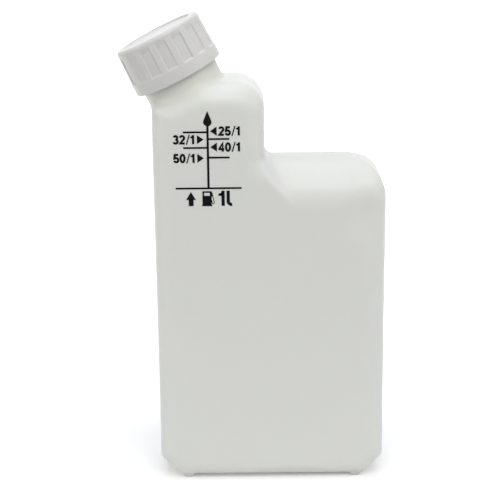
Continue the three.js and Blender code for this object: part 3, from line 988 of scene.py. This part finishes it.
class Print:
    """Plates of ink that stand on the bottle's front face and reach a little into it."""

    def __init__(self, thickness):
        self.front, self.back = BOTTLE_LOW.y - thickness, BOTTLE_LOW.y + INK_SINK
        self.space, self.faces = [], []

    def add(self, points, cells):
        """A plate whose front has these points (x, z) and cells."""
        space, faces = slab(points, cells, self.front, self.back)
        start = len(self.space)
        self.space += space
        self.faces += [tuple(i + start for i in face) for face in faces]

    def area(self, points):
        """A filled outline of points (x, z), counter-clockwise as the front shows it."""
        self.add(points, [tuple(range(len(points)))])

    def stroke(self, points, width, closed=False):
        """A flat band along a path of points (x, z)."""
        self.add(*ribbon(points, width, closed))

    def glyphs(self, text, x, z, width, height, weight):
        """A row of digits that fills the width."""
        span = sum(ADVANCE.get(c, DIGIT_ADVANCE) for c in text) - DIGIT_GAP
        wide = width / span
        for character in text:
            for points, share in DIGITS[character]:
                self.stroke(set_out(points, x, z, wide, height), weight * share, closed=character == "0")
            x += ADVANCE.get(character, DIGIT_ADVANCE) * wide

    def scale(self, sizes):
        """The litre line, and the upright line with its ticks and the oil drop on top."""
        middle, line = PRINT_LEFT + sizes.line_half, sizes.line_z
        self.stroke([(middle - sizes.line_half, line), (middle + sizes.line_half, line)], sizes.tick_width)
        self.stroke([(middle, line), (middle, line + sizes.line_height)], sizes.line_width)
        for reach, ticks in ((-sizes.left_tick, sizes.left_ticks), (sizes.right_tick, sizes.right_ticks)):
            for height in ticks:
                self.stroke([(middle, line + height), (middle + reach, line + height)], sizes.tick_width)
        base, radius, height = line + sizes.line_height, sizes.drop_radius, sizes.drop_height
        meeting = math.degrees(math.acos(radius / (height - radius)))
        foot = arc(middle, base + radius, radius, radius, 90 + meeting, 450 - meeting, 24)
        self.area(foot + [(middle, base + height)])

    def ratios(self, height, weight):
        """Each ratio with the triangle that points at the upright line."""
        for text, *places in RATIOS:
            x, z, point = (place * MM for place in places)
            self.glyphs(text, x, z, RATIO_WIDTH, height, weight)
            direction = 1 if point > x else -1
            root = point - direction * POINTER_LENGTH
            corners = [(root, z), (point, z + height / 2), (root, z + height)]
            self.area(corners[::direction])

    def signs(self, height, weight):
        """The arrow, the fuel pump sign and the litre sign under the litre line."""
        foot = SIGN_FOOT * MM
        for left, areas, strokes in SIGNS:
            for points in areas:
                self.area(set_out(points, left * MM, foot, MM, MM))
            for points, width, closed in strokes:
                self.stroke(set_out(points, left * MM, foot, MM, MM), width * MM, closed)
        self.glyphs("1", LITRE_LEFT, foot, ONE_WIDTH, height, weight)
        self.stroke(set_out(TALL_L, LITRE_LEFT + LITRE_STEP, foot, height, height), weight)


class MIXBOTTLE_OT_scale(bpy.types.Operator):
    """Print the mixing scale with its ratios, signs and litre line"""
    bl_idname = "mixbottle.scale"
    bl_label = "Printed scale"
    bl_options = {"REGISTER", "UNDO"}

    def execute(self, context):
        kit = context.scene.mixing_bottle
        sizes = kit.scale
        ink = bpy.data.materials.new("screen_printing_ink")
        tree = cleared(ink)
        where = add_node(tree, "ShaderNodeTexCoord").outputs["Object"]
        gloss = mapped(tree, surface_noise(tree, where, 0.5 * MM), 0.0, 1.0, 0.45, 0.6)
        shader = add_node(tree, "ShaderNodeBsdfPrincipled", {
            "Base Color": linear(kit.finish.ink), "Roughness": gloss, "IOR": 1.5, "Specular IOR Level": 0.1})
        add_node(tree, "ShaderNodeOutputMaterial", {"Surface": shader})
        plates = Print(sizes.ink)
        plates.scale(sizes)
        plates.ratios(sizes.digit_height, sizes.digit_weight)
        plates.signs(sizes.litre_height, sizes.litre_weight)
        obj = solid("printed_scale_ink", plates.space, plates.faces)
        obj.data.shade_flat()
        finished(obj, "bottle", ink, ["printed_scale"])
        return {"FINISHED"}


def seen(tree, least, most):
    """A strength for rays that see a surface (most) and for rays that light the object (least)."""
    rays = add_node(tree, "ShaderNodeLightPath")
    sight = arithmetic(tree, "MAXIMUM", rays.outputs["Is Camera Ray"], arithmetic(
        tree, "MAXIMUM", rays.outputs["Is Glossy Ray"], rays.outputs["Is Transmission Ray"]))
    return mapped(tree, sight, 0.0, 1.0, least, most)


# Each light's name, the setting that holds its power, its place, size and tint.
LIGHTS = (("Overhead softbox", "overhead", (0.0, 0.1, 1.2), (0.8, 0.8), (0.92, 0.96, 1.1)),
          ("Front softbox", "softbox", (0.1, -0.75, 1.02), (0.9, 0.6), (1, 1, 1)),
          ("Right fill", "right", (1.05, -0.35, 0.45), (0.8, 0.8), (1, 1, 1)),
          ("Left fill", "left", (-1.05, -0.35, 0.45), (0.8, 0.8), (1, 1, 1)))

# The paper: half its width, its front edge, where it starts to bend, the bend's radius and its top.
PAPER_HALF, PAPER_FRONT, PAPER_BACK, PAPER_BEND, PAPER_TOP = 0.9, -0.25, 1.0, 0.4, 2.5

# Behind the object the paper's white grows to its full strength between these depths.
WHITE_FROM, WHITE_TO = 0.04, 0.3


class MIXBOTTLE_OT_stage(bpy.types.Operator):
    """Set up the white paper, the lights and the camera"""
    bl_idname = "mixbottle.stage"
    bl_label = "Stage"
    bl_options = {"REGISTER", "UNDO"}

    def execute(self, context):
        kit = context.scene.mixing_bottle
        stage = kit.stage
        self.paper(linear(kit.finish.floor), stage.backdrop)

        world = bpy.data.worlds.new("Studio")
        context.scene.world = world
        tree = cleared(world)
        around = add_node(tree, "ShaderNodeBackground", {
            "Color": (1.0, 1.0, 1.0, 1.0), "Strength": seen(tree, stage.world, 1.0)})
        add_node(tree, "ShaderNodeOutputWorld", {"Surface": around})
        target = Vector(stage.target)
        for name, power, place, size, tint in LIGHTS:
            light = bpy.data.lights.new(name, "AREA")
            light.shape = "RECTANGLE"
            light.size, light.size_y = size
            light.energy = getattr(stage, power)
            light.color = tint
            aim = (target - Vector(place)).to_track_quat("-Z", "Y").to_matrix().to_4x4()
            self.place(context, light, Matrix.Translation(place) @ aim)

        camera = bpy.data.cameras.new("Camera")
        camera.lens = stage.lens
        tip, roll = Matrix.Rotation(math.pi / 2 - stage.pitch, 4, "X"), Matrix.Rotation(stage.roll, 4, "Z")
        stand = Matrix.Translation(target) @ tip @ roll @ Matrix.Translation((0, 0, stage.distance))
        context.scene.camera = self.place(context, camera, stand)
        context.scene.view_settings.view_transform = "Standard"
        return {"FINISHED"}

    def paper(self, floor, backdrop):
        """A sweep of paper that takes the shadow and looks white behind the object."""
        white = bpy.data.materials.new("white_paper_sweep")
        tree = cleared(white)
        matt = add_node(tree, "ShaderNodeBsdfDiffuse", {"Color": floor})
        where = add_node(tree, "ShaderNodeTexCoord").outputs["Object"]
        place = add_node(tree, "ShaderNodeSeparateXYZ", {0: where})
        behind = mapped(tree, place.outputs["Y"], WHITE_FROM, WHITE_TO, backdrop, 1.0)
        strength = arithmetic(tree, "MULTIPLY", behind, seen(tree, 0.0, 1.0))
        glow = add_node(tree, "ShaderNodeEmission", {"Strength": strength})
        both = add_node(tree, "ShaderNodeAddShader", {0: matt, 1: glow})
        add_node(tree, "ShaderNodeOutputMaterial", {"Surface": both})
        section = [(PAPER_FRONT, 0.0), (PAPER_BACK, 0.0)]
        section += [(PAPER_BACK + PAPER_BEND * math.sin(a), PAPER_BEND - PAPER_BEND * math.cos(a))
                    for a in np.linspace(0.1, math.pi / 2, 16)]
        section += [(PAPER_BACK + PAPER_BEND, PAPER_TOP)]
        points = [(side * PAPER_HALF, y, z) for y, z in section for side in (-1, 1)]
        faces = [(2 * i, 2 * i + 1, 2 * i + 3, 2 * i + 2) for i in range(len(section) - 1)]
        sweep = solid("paper_sweep", points, faces)
        sweep.data.materials.append(white)

    def place(self, context, data, matrix):
        """Adds a light or a camera to the scene, standing and turned as the matrix says."""
        obj = bpy.data.objects.new(data.name, data)
        obj.matrix_world = matrix
        context.scene.collection.objects.link(obj)
        return obj


OPERATORS = (MIXBOTTLE_OT_bottle, MIXBOTTLE_OT_cap, MIXBOTTLE_OT_liner, MIXBOTTLE_OT_scale,
             MIXBOTTLE_OT_stage)
GROUPS = (BottleSizes, NeckSizes, CapSizes, PrintSizes, Finishes, StageSettings, BottleKitSettings)


class MIXBOTTLE_PT_panel(bpy.types.Panel):
    """Lists the bottle's operators and settings"""
    bl_idname = "MIXBOTTLE_PT_panel"
    bl_label = "Mixing bottle"
    bl_space_type = "VIEW_3D"
    bl_region_type = "UI"
    bl_category = "Mixing bottle"

    def draw(self, context):
        kit = context.scene.mixing_bottle
        for operator in OPERATORS:
            self.layout.operator(operator.bl_idname)
        for part in ("bottle", "neck", "cap", "scale", "finish", "stage"):
            box = self.layout.box()
            box.label(text=part.capitalize())
            settings = getattr(kit, part)
            for name in settings.__annotations__:
                box.prop(settings, name)


def register():
    for cls in (*GROUPS, *OPERATORS, MIXBOTTLE_PT_panel):
        bpy.utils.register_class(cls)
    bpy.types.Scene.mixing_bottle = PointerProperty(type=BottleKitSettings)


def unregister():
    del bpy.types.Scene.mixing_bottle
    for cls in (MIXBOTTLE_PT_panel, *reversed(OPERATORS), *reversed(GROUPS)):
        bpy.utils.unregister_class(cls)


def main():
    """Builds the bottle and its stage."""
    register()
    bpy.ops.mixbottle.bottle()
    bpy.ops.mixbottle.cap()
    bpy.ops.mixbottle.liner()
    bpy.ops.mixbottle.scale()
    bpy.ops.mixbottle.stage()


if __name__ == "__main__":
    main()
